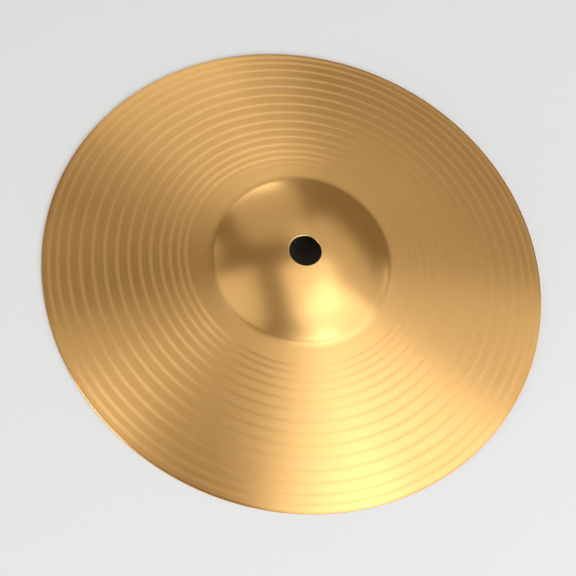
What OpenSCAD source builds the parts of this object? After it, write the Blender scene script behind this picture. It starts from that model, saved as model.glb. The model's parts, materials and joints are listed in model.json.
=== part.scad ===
// A spun brass hand cymbal: one round sheet, pressed into a shallow bow with a
// raised bell in the middle, a round hole through the bell for a strap, and
// one continuous groove turned in a spiral over the bow.
//
// Millimetres. +Z up along the axis of turning, bell upwards. The origin is on
// that axis, level with the narrow land under the rim that the plate rests on.
// The sheet keeps one thickness, so the underside follows the top.

/* [Sheet] */

// diameter over the rim
plate_d = 203.2; // [150:0.1:260]
// thickness of the sheet, measured square to its surface
sheet_t = 0.8; // [0.5:0.05:1.2]

/* [Bow] */

// radius of the sphere that the bow's top lies on; smaller is deeper
bow_r = 360; // [280:1:520]

/* [Bell] */

// diameter where the bell's curve would meet the bow without the fillet
bell_d = 73; // [60:0.5:78]
// radius of the sphere that the bell's top lies on; smaller is taller
bell_r = 81; // [60:0.5:95]
// radius of the hollow curve that joins the bell to the bow, on top
bell_fillet_r = 11.5; // [6:0.25:14]

/* [Centre hole] */

// diameter of the hole for the strap
hole_d = 13; // [8:0.1:20]
// chamfer on both edges of the hole
hole_chamfer = 0.12; // [0.05:0.01:0.2]

/* [Rim] */

// width of the flat land under the rim
rim_land_w = 0.5; // [0.3:0.05:0.8]
// chamfer on the top edge of the rim
rim_chamfer = 0.2; // [0.05:0.01:0.25]

/* [Spiral groove] */

// how far the groove's outer end is in from the rim
groove_inset = 1.1; // [1.1:0.1:3]
// how far the groove's inner end is out from the bell's base
groove_bell_gap = 7.1; // [5:0.1:12]
// step from one turn to the next at the outer end
groove_step_outer = 2.4; // [2.3:0.1:3.6]
// step from one turn to the next where it is widest
groove_step_middle = 4.8; // [3.6:0.1:5.5]
// step from one turn to the next at the inner end
groove_step_inner = 2.3; // [2.3:0.1:3.6]
// where the step is widest, as a share of the way in from the outer end
groove_widest_at = 0.28; // [0.1:0.01:0.9]
// width of the groove at the surface of the bow
groove_w = 1.3; // [0.8:0.05:1.8]
// depth of the groove
groove_depth = 0.08; // [0.05:0.01:0.2]

/* [Hidden] */

$fn = 256;

plate_r = plate_d / 2;
hole_r = hole_d / 2;
bell_base_r = bell_d / 2;

// the bow's and the bell's sphere centres, both on the axis
bow_z = -sqrt(pow(bow_r - sheet_t, 2) - pow(plate_r - rim_land_w, 2));
bell_z = bow_z + sqrt(pow(bow_r, 2) - pow(bell_base_r, 2))
         - sqrt(pow(bell_r, 2) - pow(bell_base_r, 2));

// centre of the fillet's circle, which touches both spheres from outside
centres_apart = bell_z - bow_z;
fillet_up = (pow(bow_r + bell_fillet_r, 2) - pow(bell_r + bell_fillet_r, 2)
             + pow(centres_apart, 2)) / (2 * centres_apart);
fillet_x = sqrt(pow(bow_r + bell_fillet_r, 2) - pow(fillet_up, 2));
fillet_z = bow_z + fillet_up;

// directions from the fillet's centre to the two sphere centres
to_bow = 180 + atan2(fillet_x, fillet_z - bow_z);
to_bell = 180 + atan2(fillet_x, fillet_z - bell_z);

// heights of the top surface at the edges of the hole and of the rim
hole_top_z = bell_z + sqrt(pow(bell_r, 2) - pow(hole_r, 2));
hole_low_z = bell_z + sqrt(pow(bell_r - sheet_t, 2) - pow(hole_r, 2));
rim_top_z = bow_z + sqrt(pow(bow_r, 2) - pow(plate_r, 2));

// circle that cuts the groove: a shallow chord of it is the groove's section
cutter_r = (pow(groove_w / 2, 2) + pow(groove_depth, 2)) / (2 * groove_depth);
cutter_over = 0.03;

// the width of bow that the groove crosses, and the half turns that fill it
groove_band = plate_r - groove_inset - bell_base_r - groove_bell_gap;
step_mean = groove_step_middle
            - groove_widest_at * (groove_step_middle - groove_step_outer) / 3
            - (1 - groove_widest_at) * (groove_step_middle - groove_step_inner) / 3;
half_turns = round(2 * groove_band / step_mean);

// Everything under a surface that lies a given depth below the sheet's top,
// in X (radius) and Y (height): the bow's disc, the bell's disc, and a wedge
// that fills the corner between them back to the fillet. The fillet is sunk
// a hair into both discs, so that its ends cross them instead of grazing.
module under_surface(depth) {
  reach = bell_fillet_r + depth + 2;
  translate([0, bow_z])
    circle(r = bow_r - depth);
  translate([0, bell_z])
    circle(r = bell_r - depth);
  translate([fillet_x, fillet_z])
    difference() {
      polygon([
        [0, 0],
        reach * [sin(to_bell), cos(to_bell)],
        reach * [sin(to_bow), cos(to_bow)]
      ]);
      circle(r = bell_fillet_r + depth + 0.01);
    }
}

// What is kept of the section: the hole's wall and chamfers on one side, the
// rim's land, wall and chamfer on the other.
module kept_section() {
  polygon([
    [hole_r + hole_chamfer + 2, 0],
    [plate_r, 0],
    [plate_r, rim_top_z - rim_chamfer],
    [plate_r - 3, rim_top_z - rim_chamfer + 3],
    [plate_r - 3, hole_top_z + 2],
    [hole_r + hole_chamfer + 2, hole_top_z + 2],
    [hole_r, hole_top_z - hole_chamfer],
    [hole_r, hole_low_z + hole_chamfer],
    [hole_r + hole_chamfer + 2, hole_low_z - 2]
  ]);
}

module plate_blank() {
  rotate_extrude()
    difference() {
      intersection() {
        under_surface(0);
        kept_section();
      }
      under_surface(sheet_t);
    }
}

// Step from turn to turn, at a share s of the way in (0 outer, 1 inner).
function groove_step(s) =
  s < groove_widest_at
  ? groove_step_middle - (groove_step_middle - groove_step_outer)
                         * pow(1 - s / groove_widest_at, 2)
  : groove_step_middle - (groove_step_middle - groove_step_inner)
                         * pow((s - groove_widest_at) / (1 - groove_widest_at), 2);

// The first k half turns' steps added up, before they are fitted to the band.
function groove_run(k) =
  k == 0 ? 0 : groove_run(k - 1) + groove_step((k - 0.5) / half_turns) / 2;

// Radius at which the groove crosses the XZ plane, after k half turns.
function groove_radius(k) =
  plate_r - groove_inset - groove_run(k) * groove_band / groove_run(half_turns);

// The same crossing as an angle from the axis, seen from the bow's centre.
function groove_angle(k) = asin(groove_radius(k) / bow_r);

// Half a turn of the groove. Seen from the middle of the bow's sphere, it is
// half of a ring whose axis is tipped towards the wider crossing, so it keeps
// one depth, and each half turn runs on smoothly into the next.
module groove_half_turn(k) {
  side = (k % 2 == 0) ? 1 : -1;
  opening = (groove_angle(k) + groove_angle(k + 1)) / 2;
  tip = side * (groove_angle(k) - groove_angle(k + 1)) / 2;
  translate([0, 0, bow_z])
    rotate([0, tip, side > 0 ? 0 : 180])
      rotate_extrude(angle = 180)
        rotate(-opening)
          translate([0, bow_r])
            intersection() {
              translate([0, cutter_r - groove_depth])
                circle(r = cutter_r, $fn = 96);
              translate([-groove_w, -2 * groove_depth])
                square([2 * groove_w, 2 * groove_depth + cutter_over]);
            }
}

module cymbal_plate() {
  color([0.86, 0.66, 0.33])
    difference() {
      plate_blank();
      for (k = [0 : half_turns - 1])
        groove_half_turn(k);
    }
}

cymbal_plate();
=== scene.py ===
import json
import math

import bpy
import numpy as np
from mathutils import Matrix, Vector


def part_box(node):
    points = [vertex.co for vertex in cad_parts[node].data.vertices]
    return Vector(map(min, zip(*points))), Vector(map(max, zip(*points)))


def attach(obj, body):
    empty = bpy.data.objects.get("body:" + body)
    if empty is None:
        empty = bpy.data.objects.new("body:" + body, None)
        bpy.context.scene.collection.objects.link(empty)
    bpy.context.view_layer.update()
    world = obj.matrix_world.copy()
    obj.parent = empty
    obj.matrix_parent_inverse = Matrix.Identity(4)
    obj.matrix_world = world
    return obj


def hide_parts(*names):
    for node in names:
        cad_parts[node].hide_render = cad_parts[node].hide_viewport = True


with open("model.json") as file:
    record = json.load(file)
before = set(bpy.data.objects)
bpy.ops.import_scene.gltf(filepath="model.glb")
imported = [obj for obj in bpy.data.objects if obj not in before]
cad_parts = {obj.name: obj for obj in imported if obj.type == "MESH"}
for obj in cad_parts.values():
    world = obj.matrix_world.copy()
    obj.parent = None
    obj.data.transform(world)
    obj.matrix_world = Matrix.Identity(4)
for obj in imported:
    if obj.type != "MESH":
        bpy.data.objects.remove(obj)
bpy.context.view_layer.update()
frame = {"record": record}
low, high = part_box("cymbal_plate")
rimRadius = (high[0] - low[0]) / 2 * 1000  # the sheet is worked out in millimetres
holeRadius = next(m for m in frame["record"]["mounts"] if m["name"] == "strap_hole")["dims"]["r_mm"]
print("frame loaded: rim radius", round(rimRadius, 2), "mm, hole radius", holeRadius, "mm")


# one socket of a node; sums written on it add their Math nodes
class Wire:
    def __init__(self, board, socket):
        self.board, self.socket = board, socket

    # this value and another through one Math node, the other first when swapped
    def sum(self, kind, other, swapped=False):
        pair = [other, self] if swapped else [self, other]
        return self.board.add("ShaderNodeMath", {"operation": kind}, pair)["Value"]

    def __add__(self, other):
        return self.sum("ADD", other)

    def __radd__(self, other):
        return self.sum("ADD", other, True)

    def __sub__(self, other):
        return self.sum("SUBTRACT", other)

    def __rsub__(self, other):
        return self.sum("SUBTRACT", other, True)

    def __mul__(self, other):
        return self.sum("MULTIPLY", other)

    def __truediv__(self, other):
        return self.sum("DIVIDE", other)

    def __pow__(self, other):
        return self.sum("POWER", other)


# a material with its nodes
class Board:
    def __init__(self, name):
        self.material = bpy.data.materials.new(name)
        self.material.use_nodes = True
        self.tree = self.material.node_tree
        self.shader = self.tree.nodes["Principled BSDF"]

    # links a wire to a socket, or sets the socket to a plain value
    def put(self, socket, value):
        if isinstance(value, Wire):
            self.tree.links.new(value.socket, socket)
        else:
            socket.default_value = value

    # any node by its type, settings and socket values; gives its outputs by name
    def add(self, kind, settings=None, values=None):
        node = self.tree.nodes.new(kind)
        for name, value in (settings or {}).items():
            setattr(node, name, value)
        pairs = values.items() if isinstance(values, dict) else enumerate(values or [])
        for name, value in pairs:
            self.put(node.inputs[name], value)
        return {out.name: Wire(self, out) for out in node.outputs if out.enabled}

    # goes from one colour to the other as share goes from 0 to 1
    def blend(self, share, first, second):
        return self.add("ShaderNodeMix", {"data_type": "RGBA"}, {0: share, 6: first, 7: second})["Result"]

    # eased step from 0 at start to 1 at stop
    def step(self, value, start, stop):
        return self.add("ShaderNodeMapRange", {"interpolation_type": "SMOOTHSTEP"},
                        [value, start, stop, 0.0, 1.0])["Result"]

    # cloudy noise from 0 to 1 at a spot; more detail adds finer layers, each weaker by roughness
    def noise(self, spot, scale, detail, roughness):
        return self.add("ShaderNodeTexNoise", {},
                        {"Vector": spot, "Scale": scale, "Detail": detail, "Roughness": roughness})["Fac"]


sheet = {
    "thickness": 0.8,
    "bowRadius": 360.0,      # sphere that the bow's top lies on
    "bellRadius": 81.0,      # sphere that the bell's top lies on
    "bellBase": 36.5,        # radius where bell and bow would meet without the fillet
    "fillet": 11.5,
    "landWidth": 0.5,        # flat under the rim
    "rimRound": 0.2,
    "holeRound": 0.16,
    "columns": 270,          # round the axis
    # rows on the top as start, end and count; the bell's start is out from the hole
    "bellRows": (1.2, 33.6, 30), "filletRows": (34.2, 39.0, 13), "plainRows": (39.8, 42.2, 4),
    "groovedFrom": 42.6,     # rows lie rowSpacing apart from here to the rim
    "rowSpacing": 0.235,
    # rows on the underside, inwards; the bow's start is in from the land, the bell's end out
    # from the hole
    "underBow": (0.05, 42.0, 22), "underFillet": (40.0, 33.0, 11), "underBell": (30.0, 0.9, 10),
}

groove = {
    "inset": 1.1,            # outer end, in from the rim
    "bellGap": 7.1,          # inner end, out from the bell's base
    "turns": 14.5,
    "stepOuter": 2.4, "stepMiddle": 4.8, "stepInner": 2.3, "widestAt": 0.28,
    "widthOuter": 1.32, "widthInner": 1.12,
    "depth": 0.012,
    "shoulder": 0.6,         # how far each edge is eased over
    "fadeIn": 0.05, "fadeOut": 0.5,  # turns over which the two ends come and go
}


# heights of the bow's and the bell's sphere centres and the fillet circle's centre: the bow
# rests its land at z = 0, the bell meets it at bellBase, the fillet touches both from outside
def sheetCentres():
    s = sheet
    bow = -math.sqrt((s["bowRadius"] - s["thickness"]) ** 2 - (rimRadius - s["landWidth"]) ** 2)
    bell = (bow + math.sqrt(s["bowRadius"] ** 2 - s["bellBase"] ** 2)
            - math.sqrt(s["bellRadius"] ** 2 - s["bellBase"] ** 2))
    gap = bell - bow
    bowReach, bellReach = s["bowRadius"] + s["fillet"], s["bellRadius"] + s["fillet"]
    up = (bowReach ** 2 - bellReach ** 2 + gap ** 2) / (2 * gap)
    out = math.sqrt(bowReach ** 2 - up ** 2)
    return bow, bell, out, bow + up


# height and slope, at radius r, of the surface a given depth under the top: the bell's sphere,
# then the fillet's circle, then the bow's sphere
def sheetSurface(r, depth=0.0):
    bow, bell, filletOut, filletUp = sheetCentres()
    bowR, bellR = sheet["bowRadius"] - depth, sheet["bellRadius"] - depth
    filletR = sheet["fillet"] + depth
    inner = filletOut * bellR / (bellR + filletR)
    outer = filletOut * bowR / (bowR + filletR)
    onBell = np.sqrt(np.maximum(bellR ** 2 - r ** 2, 1e-9))
    onBow = np.sqrt(bowR ** 2 - r ** 2)
    onFillet = np.sqrt(np.maximum(filletR ** 2 - (r - filletOut) ** 2, 1e-9))
    height = np.where(r < inner, bell + onBell, np.where(r < outer, filletUp - onFillet, bow + onBow))
    slope = np.where(r < inner, -r / onBell, np.where(r < outer, (r - filletOut) / onFillet, -r / onBow))
    return height, slope


# how much of the way in the groove has come after a share s of its turns: the running sum of a
# step that grows to its widest and shrinks again, both as parabolas, made to end at 1
def grooveShare(s):
    at, mid = groove["widestAt"], groove["stepMiddle"]
    outDrop, inDrop = mid - groove["stepOuter"], mid - groove["stepInner"]

    def run(x):
        early = mid * x - outDrop * at / 3 * (1 - (1 - x / at) ** 3)
        peak = mid * at - outDrop * at / 3
        late = peak + mid * (x - at) - inDrop * (1 - at) / 3 * (np.maximum(x - at, 0) / (1 - at)) ** 3
        return np.where(x < at, early, late)
    return run(s) / run(np.array(1.0))


# 1 in the groove and 0 beside it, eased over the shoulders; the groove is one spiral that comes
# in as the angle grows, and where turns meet the stronger one counts
def grooveMask(r, angle):
    start = rimRadius - groove["inset"]
    band = start - sheet["bellBase"] - groove["bellGap"]
    turn = angle / (2 * math.pi)
    best = np.zeros(np.broadcast(r, angle).shape)
    for n in range(int(math.ceil(groove["turns"]))):
        share = np.clip((n + turn) / groove["turns"], 0, 1)
        middle = start - band * grooveShare(share)
        width = groove["widthOuter"] + (groove["widthInner"] - groove["widthOuter"]) * share
        edge = np.clip(0.5 - (np.abs(r - middle) - width / 2) / groove["shoulder"], 0, 1)
        starting = np.clip((n + turn) / groove["fadeIn"], 0, 1)
        ending = np.clip((groove["turns"] - n - turn) / groove["fadeOut"], 0, 1)
        best = np.maximum(best, edge * edge * (3 - 2 * edge) * starting * ending)
    return best


# radius and height of each row, once round the sheet's section: out over the top, round the rim,
# in along the underside and up the hole's wall; and how many rows lie on the top. The bare
# numbers in it are fractions of a millimetre that space the rows at the rim's and hole's edges
def sheetOutline():
    s = sheet
    rimR, land, hole, ease = rimRadius, s["landWidth"], holeRadius, s["holeRound"]
    top = np.concatenate([
        hole + ease + np.array([0, 0.12, 0.4]),
        np.linspace(hole + s["bellRows"][0], *s["bellRows"][1:]),
        np.linspace(*s["filletRows"]), np.linspace(*s["plainRows"]),
        np.arange(s["groovedFrom"], rimR - s["rimRound"] - s["rowSpacing"] / 2, s["rowSpacing"]),
        [rimR - s["rimRound"]]])
    wallTop = float(sheetSurface(np.array([rimR]))[0][0]) - s["rimRound"]
    rim = np.array([[rimR - 0.06, wallTop + 0.14], [rimR, wallTop], [rimR, wallTop / 2],
                    [rimR, 0.07], [rimR - 0.07, 0.0], [rimR - land + 0.03, 0.0]])
    bellFrom, bellGap, bellCount = s["underBell"]
    under = np.concatenate([np.linspace(rimR - land - s["underBow"][0], *s["underBow"][1:]),
                            np.linspace(*s["underFillet"]),
                            np.linspace(bellFrom, hole + bellGap, bellCount), [hole + ease]])
    holeTop = float(sheetSurface(np.array([hole]))[0][0])
    holeLow = float(sheetSurface(np.array([hole]), s["thickness"])[0][0])
    wall = np.array([[hole + 0.04, holeLow + 0.05], [hole, holeLow + ease],
                     [hole, (holeLow + holeTop) / 2],
                     [hole, holeTop - ease], [hole + 0.04, holeTop - 0.05]])
    rows = np.concatenate([np.stack([top, sheetSurface(top)[0]], 1), rim,
                           np.stack([under, sheetSurface(under, s["thickness"])[0]], 1), wall])
    return rows, len(top)


# quads of a grid that closes on itself both ways, rows round the section and columns round the
# axis, as one array of corner numbers
def ringGrid(rows, columns):
    i, j = np.meshgrid(np.arange(rows), np.arange(columns), indexing="ij")
    nextI, nextJ = (i + 1) % rows, (j + 1) % columns
    quads = [i * columns + j, nextI * columns + j, nextI * columns + nextJ, i * columns + nextJ]
    return np.stack(quads, -1).reshape(-1, 4)


# an object from an array of points and one of corner numbers, smooth all over
def meshFrom(name, points, faces):
    mesh = bpy.data.meshes.new(name)
    mesh.vertices.add(len(points))
    mesh.vertices.foreach_set("co", points.astype(np.float32).ravel())
    mesh.loops.add(faces.size)
    mesh.loops.foreach_set("vertex_index", faces.astype(np.int32).ravel())
    mesh.polygons.add(len(faces))
    mesh.polygons.foreach_set("loop_start", np.arange(0, faces.size, faces.shape[1], dtype=np.int32))
    mesh.update(calc_edges=True)
    mesh.validate()
    mesh.polygons.foreach_set("use_smooth", np.ones(len(mesh.polygons), bool))
    piece = bpy.data.objects.new(name, mesh)
    bpy.context.scene.collection.objects.link(piece)
    return piece


# the section's rows turned round the axis, with the groove sunk square to the bow's top; each
# vertex keeps how far it is in the groove and whether it lies beneath
def makePlate():
    rows, onTop = sheetOutline()
    angle = np.arange(sheet["columns"]) * 2 * math.pi / sheet["columns"]
    r = np.repeat(rows[:, :1], sheet["columns"], 1)
    z = np.repeat(rows[:, 1:], sheet["columns"], 1)
    bow = np.zeros(len(rows), bool)
    bow[:onTop] = rows[:onTop, 0] >= sheet["groovedFrom"]  # close enough to hold the groove
    mask = np.zeros(r.shape)
    mask[bow] = grooveMask(r[bow], angle[None, :])
    slope = sheetSurface(r)[1]
    lean = np.sqrt(1 + slope ** 2)
    sunk = groove["depth"] * mask
    r = r + sunk * slope / lean
    z = z - sunk / lean
    points = np.stack([r * np.cos(angle), r * np.sin(angle), z], -1).reshape(-1, 3) / 1000
    plate = meshFrom("cymbalPlate", points, ringGrid(len(rows), sheet["columns"]))
    beneath = np.zeros(r.shape)
    beneath[onTop + 5:-2] = 1  # from the land's inner edge to halfway up the hole's wall
    for name, value in (("grooveBand", mask), ("beneath", beneath)):
        layer = plate.data.attributes.new(name, "FLOAT", "POINT")
        layer.data.foreach_set("value", value.astype(np.float32).ravel())
    print("plate:", len(rows), "rows,", 2 * len(plate.data.polygons), "triangles")
    return plate


brass = {
    "pale": (0.91, 0.570, 0.225, 1),
    "deep": (0.88, 0.530, 0.190, 1),
    "satinTint": (0.94, 0.575, 0.225, 1),
    "rimTint": (0.62, 0.300, 0.075, 1),
    "worn": (1.0, 0.70, 0.32, 1),
    "polish": 0.32,                # roughness of the turned bow
    "satin": 0.48,                 # roughness in the groove
    "brushing": 0.86,              # how much the turning lines stretch a highlight
    "bellPolish": 0.25, "bellBrushing": 0.2,
    "bellEnds": (35.2, 37.8),      # radii, in millimetres, between which bell turns to bow
    "rimEdge": (1.0, 0.15),        # the painted shade at the rim starts and is full this far in from the rim
    "holeEdge": (0.15, 0.75),      # the painted highlight round the hole is full this far out from it and ends this far out
    "rimShare": 0.7, "wornShare": 0.6, "satinShare": 0.5,
    "grainTurn": 0.25,             # a quarter turn, so highlights spread across the turned lines
    "lineHeight": 0.000005,        # metres
    "grooveRelief": 0.8,           # how much higher the lines stand in the groove
    # fineness across, sweep round the axis and layers of the turned lines
    "fineLines": (2.6, 5.0, 3.0), "broadLines": (0.35, 1.6, 2.0), "lineRoughness": 0.6,
    "haze": (26.0, 3.0, 0.55),     # scale, layers and roughness of the cloudy patches
    "toneShares": (0.4, 0.3, 0.3), "toneEnds": (0.3, 0.7),
    "fineRough": 0.08, "hazeRough": 0.05, "bellHazeRough": 0.06,
}


# turned brass: fine lines round the axis on the bow, a satin groove, a smoother bell, painted shade that
# darkens the brass at the rim, and a painted highlight, a pale ring, round the hole
def makeBrass():
    b = Board("turnedBrass")
    place = b.add("ShaderNodeTexCoord")["Object"]
    xyz = b.add("ShaderNodeSeparateXYZ", values=[place])
    radius = ((xyz["X"] * xyz["X"] + xyz["Y"] * xyz["Y"]) ** 0.5) * 1000 + 0.001
    side, ahead = xyz["X"] * 1000 / radius, xyz["Y"] * 1000 / radius
    band = b.add("ShaderNodeAttribute", {"attribute_name": "grooveBand"})["Fac"]
    beneath = b.add("ShaderNodeAttribute", {"attribute_name": "beneath"})["Fac"]
    onBell = 1 - b.step(radius, *brass["bellEnds"])
    nearRim = b.step(radius, rimRadius - brass["rimEdge"][0], rimRadius - brass["rimEdge"][1])
    nearHole = 1 - b.step(radius, holeRadius + brass["holeEdge"][0], holeRadius + brass["holeEdge"][1])

    # noise over radius times fineness and direction times sweep: fine across, long round the axis
    def streaks(fineness, sweep, detail):
        spot = b.add("ShaderNodeCombineXYZ", values=[radius * fineness, side * sweep, ahead * sweep])
        return b.noise(spot["Vector"], 1.0, detail, brass["lineRoughness"])

    fine = streaks(*brass["fineLines"])
    broad = streaks(*brass["broadLines"])
    haze = b.noise(place, *brass["haze"])

    fineShare, broadShare, hazeShare = brass["toneShares"]
    tone = b.step(fine * fineShare + broad * broadShare + haze * hazeShare, *brass["toneEnds"])
    colour = b.blend(tone, brass["deep"], brass["pale"])
    colour = b.blend(band * brass["satinShare"], colour, brass["satinTint"])
    # painted shade: the brass is darkened within a millimetre of the rim, top and underside, for the
    # rim's shadowed edge
    colour = b.blend(nearRim * brass["rimShare"], colour, brass["rimTint"])
    # painted highlight: a pale ring on the top round the hole, for the light that the hole's rounded edge
    # catches
    colour = b.blend(nearHole * (1 - beneath) * brass["wornShare"], colour, brass["worn"])
    rough = brass["polish"] + band * (brass["satin"] - brass["polish"])
    rough = rough + (fine - 0.5) * brass["fineRough"] + (haze - 0.5) * brass["hazeRough"]
    lines = b.add("ShaderNodeBump", {}, {"Strength": 1.0, "Distance": brass["lineHeight"],
                                         "Height": fine * (1 + band * brass["grooveRelief"])})["Normal"]
    bow = {"Base Color": colour, "Roughness": rough, "Metallic": 1.0, "Normal": lines,
           "Anisotropic": brass["brushing"], "Anisotropic Rotation": brass["grainTurn"]}
    for name, value in bow.items():
        b.put(b.shader.inputs[name], value)
    bellRough = brass["bellPolish"] + (haze - 0.5) * brass["bellHazeRough"]
    bell = b.add("ShaderNodeBsdfPrincipled", {}, {
        "Base Color": colour, "Metallic": 1.0, "Roughness": bellRough,
        "Anisotropic": brass["bellBrushing"], "Anisotropic Rotation": brass["grainTurn"]})["BSDF"]
    shaders = [onBell, Wire(b, b.shader.outputs["BSDF"]), bell]
    both = b.add("ShaderNodeMixShader", {}, shaders)["Shader"]
    b.put(b.tree.nodes["Material Output"].inputs["Surface"], both)
    return b.material


plate = makePlate()
plate.data.materials.append(makeBrass())
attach(plate, "root")
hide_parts("cymbal_plate")
print("brass done")

stage = {  # sizes in metres
    "floorSize": 6.0, "floorColour": (0.74, 0.77, 0.80, 1), "floorRoughness": 0.7,
    "matRadius": 0.06, "matHeight": 0.0004, "matColour": (0.35, 0.35, 0.33, 1), "matRoughness": 0.9,
    "stageGloss": 0.1,
    "lampDistance": 1.5,
    "skyColour": (1, 0.76, 0.46, 1), "skyStrength": 0.20,
}


# one colour and one roughness, with little gloss
def plainMaterial(name, colour, roughness):
    b = Board(name)
    b.put(b.shader.inputs["Base Color"], colour)
    b.put(b.shader.inputs["Roughness"], roughness)
    b.put(b.shader.inputs["Specular IOR Level"], stage["stageGloss"])
    return b.material


# a flat round face of a given radius at a given height
def disc(name, radius, height, columns=96):
    angle = np.arange(columns) * 2 * math.pi / columns
    points = np.stack([radius * np.cos(angle), radius * np.sin(angle), np.full(columns, height)], 1)
    return meshFrom(name, points, np.arange(columns)[None, :])


floor = disc("floor", stage["floorSize"] / 2, 0.0)
floor.data.materials.append(plainMaterial("paleFloor", stage["floorColour"], stage["floorRoughness"]))
mat = disc("darkMat", stage["matRadius"], stage["matHeight"])  # a dark disc under the bell, painted shade so the hole looks dark
mat.data.materials.append(plainMaterial("greyFelt", stage["matColour"], stage["matRoughness"]))

lamps = [  # azimuth and elevation in degrees seen from the plate, width and height in metres
    {"name": "key", "azimuth": 317, "elevation": 34, "width": 0.9, "height": 1.3,
     "glow": 3.5, "colour": (0.93, 0.96, 1)},
    {"name": "rightWide", "azimuth": 0, "elevation": 16, "width": 2.8, "height": 0.8,
     "glow": 2.15, "colour": (0.94, 0.96, 1)},
    {"name": "rightTall", "azimuth": 0, "elevation": 46, "width": 0.9, "height": 1.8,
     "glow": 1.1, "colour": (1, 1, 1)},
    {"name": "top", "azimuth": 36, "elevation": 76, "width": 0.9, "height": 0.8,
     "glow": 0.94, "colour": (1, 1, 1)},
    {"name": "leftHigh", "azimuth": 213, "elevation": 54, "width": 1.0, "height": 1.1,
     "glow": 0.6, "colour": (1, 1, 1)},
    {"name": "leftLow", "azimuth": 229, "elevation": 10, "width": 0.65, "height": 0.45,
     "glow": 13.5, "colour": (0.96, 0.98, 1)},
    {"name": "left", "azimuth": 180, "elevation": 28, "width": 0.9, "height": 0.8,
     "glow": 0.5, "colour": (1, 1, 1)},
    {"name": "backRight", "azimuth": 60, "elevation": 52, "width": 1.4, "height": 0.8,
     "glow": 0.4, "colour": (1, 1, 1)},
    {"name": "backLeft", "azimuth": 120, "elevation": 34, "width": 0.9, "height": 1.3,
     "glow": 0.33, "colour": (1, 1, 1)},
    {"name": "backLow", "azimuth": 126, "elevation": 9, "width": 0.8, "height": 0.45,
     "glow": 1.8, "colour": (1, 1, 1)},
]


# a flat soft light that faces the plate; its power is its glow times pi times its area
def makeLamp(name, azimuth, elevation, width, height, glow, colour):
    data = bpy.data.lights.new(name, "AREA")
    data.shape, data.size, data.size_y = "RECTANGLE", width, height
    data.energy, data.color = glow * math.pi * width * height, colour
    lamp = bpy.data.objects.new(name, data)
    a, e = math.radians(azimuth), math.radians(elevation)
    away = np.array([math.cos(e) * math.cos(a), math.cos(e) * math.sin(a), math.sin(e)])
    across = np.array([-math.sin(a), math.cos(a), 0.0])
    upward = np.cross(away, across)
    matrix = np.eye(4)
    matrix[:3, :] = np.stack([across, upward, away, away * stage["lampDistance"]], 1)
    lamp.matrix_world = Matrix(matrix.tolist())
    bpy.context.scene.collection.objects.link(lamp)


for lamp in lamps:
    makeLamp(**lamp)

sky = bpy.data.worlds.new("studio")
sky.use_nodes = True
background = sky.node_tree.nodes["Background"].inputs
background["Color"].default_value = stage["skyColour"]
background["Strength"].default_value = stage["skyStrength"]
bpy.context.scene.world = sky
bpy.context.scene.view_settings.view_transform = "Standard"
print("stage and", len(lamps), "lights done")

view = {  # metres, degrees and millimetres
    "distance": 0.92226, "elevation": 62.518, "roll": 22.63,
    "aim": (-0.00062, -0.01213, 0.010),
    "lens": 143.75, "sensor": 36.0,
}


# stands in front of the plate at the given elevation, looks at aim, rolled about its line of sight
def makeCamera():
    data = bpy.data.cameras.new("camera")
    data.lens, data.sensor_width = view["lens"], view["sensor"]
    camera = bpy.data.objects.new("camera", data)
    e, roll = math.radians(view["elevation"]), math.radians(view["roll"])
    spot = view["distance"] * np.array([0.0, -math.cos(e), math.sin(e)])
    ahead = np.array(view["aim"]) - spot
    ahead /= np.linalg.norm(ahead)
    right = np.cross(ahead, (0, 0, 1))
    right /= np.linalg.norm(right)
    up = np.cross(right, ahead)
    turn = math.cos(roll) * right + math.sin(roll) * up
    lift = math.cos(roll) * up - math.sin(roll) * right
    matrix = np.eye(4)
    matrix[:3, :] = np.stack([turn, lift, -ahead, spot], 1)
    camera.matrix_world = Matrix(matrix.tolist())
    bpy.context.scene.collection.objects.link(camera)
    bpy.context.scene.camera = camera


makeCamera()
